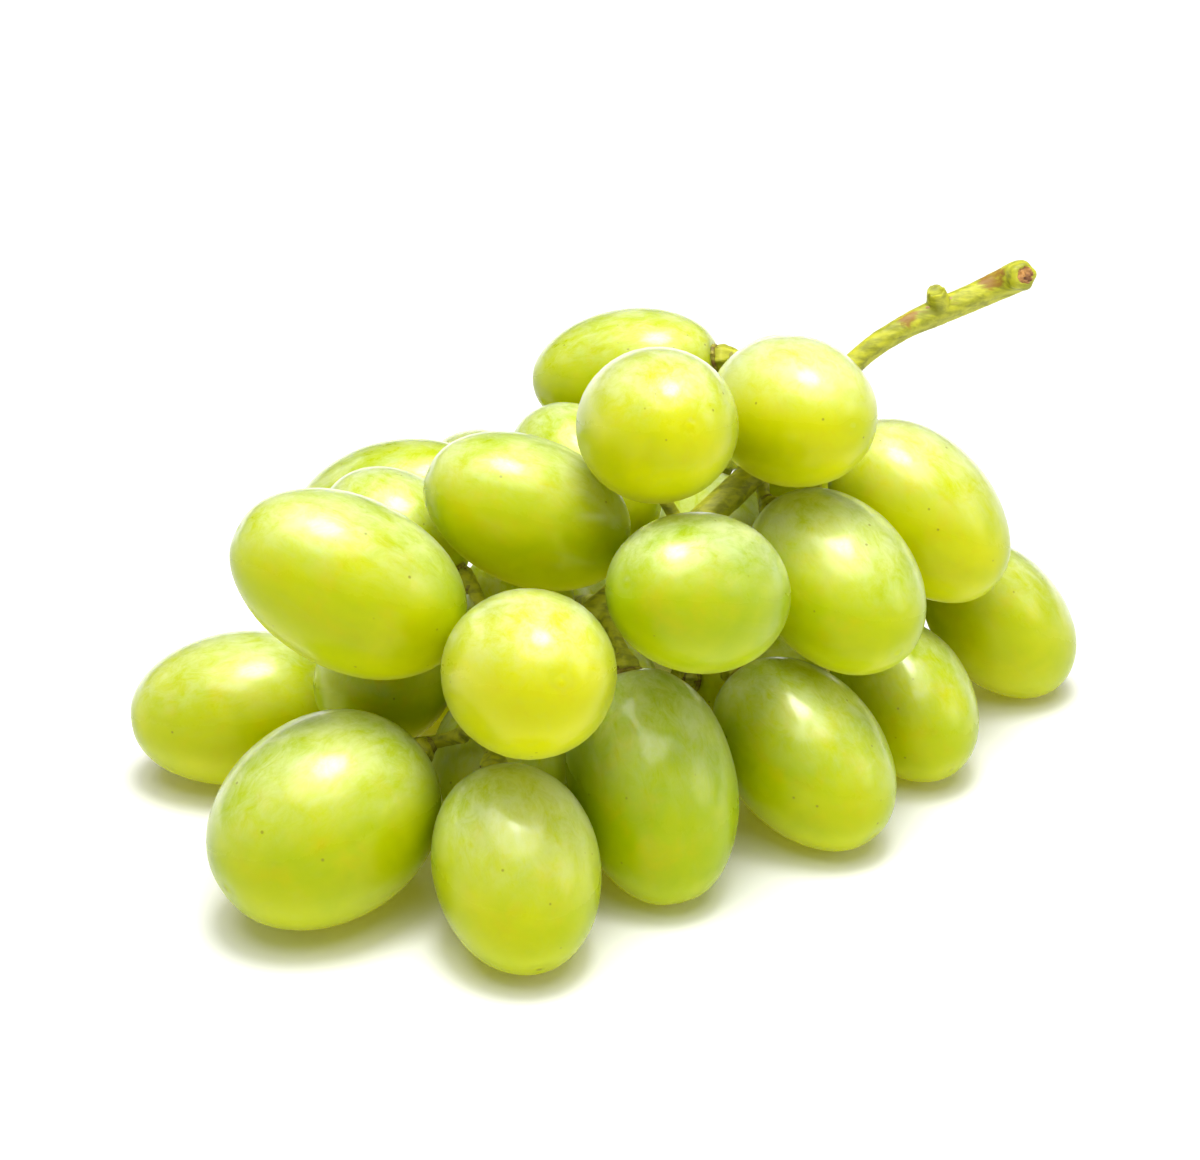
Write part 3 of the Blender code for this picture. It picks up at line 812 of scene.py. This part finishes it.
seats = []
for middle, axis, half_length, half_width in solids.values():
    foot = middle + axis * (half_length - DIMPLE - SEAT_SUNK)
    copy = bpy.data.objects.new("seat", seat.data.copy())
    bpy.context.scene.collection.objects.link(copy)
    roll = Matrix.Rotation(draw.uniform(0, math.tau), 4, "Z")
    turn = Vector((0, 0, 1)).rotation_difference(axis).to_matrix().to_4x4()
    copy.data.transform(Matrix.Translation(foot) @ turn @ roll)
    seats.append(copy)
bpy.data.objects.remove(seat, do_unlink=True)
seats = join(seats, "grape_seats")
print("seats:", len(seats.data.polygons), "faces")

# %% [markdown]
# ## Four pieces for one stem
# In the frame the stem is one solid. Four pieces replace it here, because bark, fibres, scar and
# seats are different stuffs. None of them moves: they all ride on the root of the object.

# %% Stand in for the stem
for piece in [stem_skin, torn, leaf_scar, seats]:
    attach(piece, "root")
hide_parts("stem")
print("the stem is made of", [piece.name for piece in [stem_skin, torn, leaf_scar, seats]])

# %% [markdown]
# ## Skin over flesh
# A green grape glows because light goes in, wanders through the flesh and comes out elsewhere.
# Subsurface scattering does that: red and green light travel for millimetres, blue is soon lost,
# which makes the yellow-green so strong. Painted light is added to the flesh's own colour. A
# painted glow makes it yellower towards the underside and where it is seen straight on, and
# golden patches of the flesh are shown only there, as part of that painted glow. Painted shade
# makes it greener on top and dark green towards its edge, where the skin is met at a slant. The
# bloom is a film of wax over it, thin enough to vanish where it is seen straight on, and milky
# where it is seen at a slant. It is painted on the upper side only, as painted light from above,
# and a painted milky rim at the very edge stands for the reflection of the white surroundings.
# Faint veins run from end to end, and a few brown specks break up the surface. Light from above
# gathers in the flesh and leaves again at the underside, where it tints the shadow below.
# Scattering alone carries too little of it, so the underside has a painted glow: it glows a
# little by itself, though it is no lamp.

# %% Skin over flesh
GREEN_FLESH = (0.33, 0.47, 0.0, 1)
YELLOW_FLESH = (0.62, 0.64, 0.0, 1)
# golden tone of the flesh, also used as a painted glow where the grape is seen straight on
GOLDEN_FLESH_AND_GLOW = (0.60, 0.53, 0.0, 1)
# painted shade: the dark green of the edges seen at a slant
PAINTED_EDGE_SHADE = (0.18, 0.27, 0.0, 1)
# painted glow: the colour that the underside emits by itself
UNDERSIDE_PAINTED_GLOW = (0.50, 0.46, 0.0, 1)
WAX = (0.72, 0.78, 0.48, 1)
VEIN = (0.52, 0.60, 0.08, 1)
SPECK = (0.18, 0.14, 0.02, 1)
SCAR_BROWN = (0.12, 0.08, 0.01, 1)
# olive tone of the ring round the stem end
STEM_END_OLIVE = (0.42, 0.40, 0.04, 1)

skin, skin_shader, write = new_material("grape skin")
place = write.node("ShaderNodeAttribute", {"attribute_name": "skin_place"}, out=1)
look = write.node("ShaderNodeAttribute", {"attribute_name": "own_look"}, out=0)
ripe, bloom_amount, scar_amount = [
    write.node("ShaderNodeSeparateColor", {}, {0: look}, out=part) for part in range(3)]
shift = write.node("ShaderNodeAttribute", {"attribute_name": "own_look"}, out=3)
offset = write.node("ShaderNodeCombineXYZ", {}, {0: shift * 97.0, 1: shift * 61.0, 2: shift * 43.0})
own_place = vector_sum("ADD", place, offset)
slant = write.node("ShaderNodeLayerWeight", {}, {"Blend": 0.5}, out=1)
outward = write.node("ShaderNodeNewGeometry", {}, {}, out=1)
upward = write.node("ShaderNodeSeparateXYZ", {}, {0: outward}, out=2)

blotches = grain(own_place, 0.16, 3.0, 0.55, 0.4)
# real ripeness from the blotches and each grape's own value, plus a painted glow: yellower below and face
# on, greener on top and at the edges
ripeness_and_painted_glow = blotches * 0.8 + ripe * 0.9 - upward * 0.18 - slant * 0.35 - 0.15
pale_flesh = paint(ripeness_and_painted_glow, GREEN_FLESH, YELLOW_FLESH)
# golden patches shown only where the grape is seen straight on: partly the flesh's own colour, partly
# painted glow
golden_and_painted_glow = grain(own_place, 0.30, 4.0, 0.6, 0.3).step(0.45, 0.75) * (1 - slant.step(0.0, 0.45))
flesh = paint(golden_and_painted_glow * 0.55, pale_flesh, GOLDEN_FLESH_AND_GLOW)
# painted shade: darker green towards the edge
with_painted_edge_shade = paint(slant.step(0.35, 0.95) * 0.45, flesh, PAINTED_EDGE_SHADE)
threads = grain(vector_sum("MULTIPLY", own_place, (1.0, 1.0, 0.08)), 0.9, 3.0, 0.6, 0.2).step(0.50, 0.75)
veined = paint(threads * 0.10, with_painted_edge_shade, VEIN)

streaked = vector_sum("MULTIPLY", own_place, (1.0, 1.0, 0.55))
wisps = grain(streaked, 0.60, 8.0, 0.72, 0.5)
patches = grain(own_place, 0.15, 4.0, 0.6, 0.5)
film = (wisps * 0.9 + patches * 0.6 + bloom_amount * 0.3).step(0.66, 1.14)
# the bloom is shown only on the upper side: painted light from above
film_painted_lit_from_above = film * (upward + slant * 0.25).step(0.25, 1.00)
# painted milky rim at the very edge: a painted reflection of the white surroundings
film_and_painted_rim = film_painted_lit_from_above * (0.50 + slant * 0.30) + slant.step(0.6, 1.0) * 0.10
bloom_and_painted_light = paint(film_and_painted_rim, veined, WAX)

dots = write.node("ShaderNodeTexVoronoi", {}, {"Vector": own_place, "Scale": 0.55}, out=0)
which = write.node("ShaderNodeTexVoronoi", {}, {"Vector": own_place, "Scale": 0.55}, out=1)
chosen = write.node("ShaderNodeSeparateColor", {}, {0: which}).step(0.80, 0.84)
specks = (1 - dots.step(0.05, 0.12)) * chosen
specked = paint(specks * 0.6, bloom_and_painted_light, SPECK)

height = write.node("ShaderNodeSeparateXYZ", {}, {0: place}, out=2)
flat_place = vector_sum("MULTIPLY", place, (1, 1, 0))
from_axis = write.node("ShaderNodeVectorMath", {"operation": "LENGTH"}, {0: flat_place}, out=1)
scar = (1 - from_axis.step(0.22, 0.48)) * (1 - height.step(-8.0, -7.0)) * scar_amount
# the skin turns olive in a ring round the stem end, just beyond the seat's rim
stem_end_ring = (1 - from_axis.step(1.2, 2.6)) * height.step(7.0, 8.0)
seated = paint(stem_end_ring * 0.5, specked, STEM_END_OLIVE)
scarred = paint(scar, seated, SCAR_BROWN)

pores = grain(own_place, 4.0, 2.0, 0.5)
relief = pores + wisps * 0.5
bump = write.node("ShaderNodeBump", {}, {"Strength": 0.05, "Distance": 0.1 * MM, "Height": relief})
# painted glow: the underside emits yellow light by itself, though it is no lamp
downward = (0.0 - upward).step(0.1, 1.0)
painted_underside_glow = paint(downward, (0, 0, 0, 1), UNDERSIDE_PAINTED_GLOW)
feed(write, skin_shader, Base_Color=scarred, Roughness=0.27 + film_painted_lit_from_above * 0.20, Normal=bump, IOR=1.40,
     Specular_Tint=(1.0, 1.0, 0.3, 1),
     Coat_Weight=upward.step(0.1, 0.7), Coat_Roughness=0.20, Coat_IOR=1.50,
     Subsurface_Weight=1.0, Subsurface_Scale=5.0 * MM, Subsurface_Radius=(1.0, 0.9, 0.15),
     Subsurface_Anisotropy=0.3, Emission_Color=painted_underside_glow, Emission_Strength=0.3)
for grape in grapes.values():
    grape.data.materials.clear()
    grape.data.materials.append(skin)
print("grape skin:", len(skin.node_tree.nodes), "nodes")

# %% [markdown]
# ## Bark, seats, break and scar
# The stem is as green as the grapes are, but dull. Patches of it have dried to brown, most of
# all by the break and where the bunch rubbed against its crate. The seats are yellower, with
# brown warts. All of these stuffs are one recipe with other colours, so one function writes it.

# %% Bark, seats, break and scar
SPOT_WEIGHT = 0.34      # how much a spot adds to the browning around it


def near(place, spot, inner, outer):
    """1 within the inner distance of a spot, 0 beyond the outer one, in millimetres."""
    distance = place.node("ShaderNodeVectorMath", {"operation": "DISTANCE"}, {0: place, 1: spot}, out=1)
    return 1 - distance.step(inner, outer)


def bark_like(name, pale, dark, brown, browning, roughness, spots=()):
    """A dull, mottled plant stuff, with brown patches everywhere and thicker at some spots."""
    made, shader, write = new_material(name)
    corner = write.node("ShaderNodeTexCoord", {}, {}, out=3)
    place = vector_sum("MULTIPLY", corner, (1000.0, 1000.0, 1000.0))
    along = vector_sum("MULTIPLY", place, (0.30, 1.0, 1.0))
    mottled = paint(grain(along, 1.1, 5.0, 0.6, 0.3).step(0.38, 0.66), pale, dark)
    worn = grain(along, 1.1, 6.0, 0.66, 0.8) + browning
    for spot, inner, outer in spots:
        worn = worn + near(place, Vector(spot) + MOVED / MM, inner, outer) * SPOT_WEIGHT
    browned = paint(worn.step(0.60, 0.86) * 0.85, mottled, brown)
    fine = grain(along, 4.0, 4.0, 0.6)
    bump = write.node("ShaderNodeBump", {}, {"Strength": 0.35, "Distance": 0.12 * MM, "Height": fine})
    feed(write, shader, Base_Color=browned, Roughness=roughness, Normal=bump,
         Subsurface_Weight=0.35, Subsurface_Scale=0.8 * MM, Subsurface_Radius=(1.0, 0.9, 0.3))
    return made


PALE_BARK = (0.52, 0.52, 0.02, 1)
OLIVE_BARK = (0.27, 0.28, 0.01, 1)
BROWN_BARK = (0.30, 0.13, 0.01, 1)
SEAT_PALE = (0.34, 0.31, 0.03, 1)
SEAT_DARK = (0.15, 0.10, 0.01, 1)
SEAT_BROWN = (0.16, 0.06, 0.01, 1)
FIBRE_PALE = (0.52, 0.26, 0.07, 1)
FIBRE_DARK = (0.16, 0.06, 0.02, 1)
SCAR_PINK = (0.62, 0.42, 0.22, 1)
SCAR_DARK = (0.40, 0.20, 0.08, 1)
BROWN_SPOTS = [         # place, and how far it is full brown and where it ends, in millimetres
    ((44.0, 23.0, 54.2), 0.8, 2.6),
    ((34.5, 20.0, 50.3), 0.4, 1.8),
    ((37.6, 21.0, 54.0), 0.2, 0.9),
]

stuffs = [
    (stem_skin, bark_like("stem bark", PALE_BARK, OLIVE_BARK, BROWN_BARK, 0.0, 0.55, BROWN_SPOTS)),
    (seats, bark_like("grape seats", SEAT_PALE, SEAT_DARK, SEAT_BROWN, 0.08, 0.6)),
    (torn, bark_like("torn fibres", FIBRE_PALE, FIBRE_DARK, FIBRE_DARK, 0.1, 0.8)),
    (leaf_scar, bark_like("leaf scar", SCAR_PINK, SCAR_DARK, FIBRE_DARK, -0.1, 0.6)),
]
for piece, stuff in stuffs:
    piece.data.materials.clear()
    piece.data.materials.append(stuff)
print("stuffs:", [stuff.name for _, stuff in stuffs])

# %% [markdown]
# ## The end
# The dressed bunch must not outgrow the measured one.
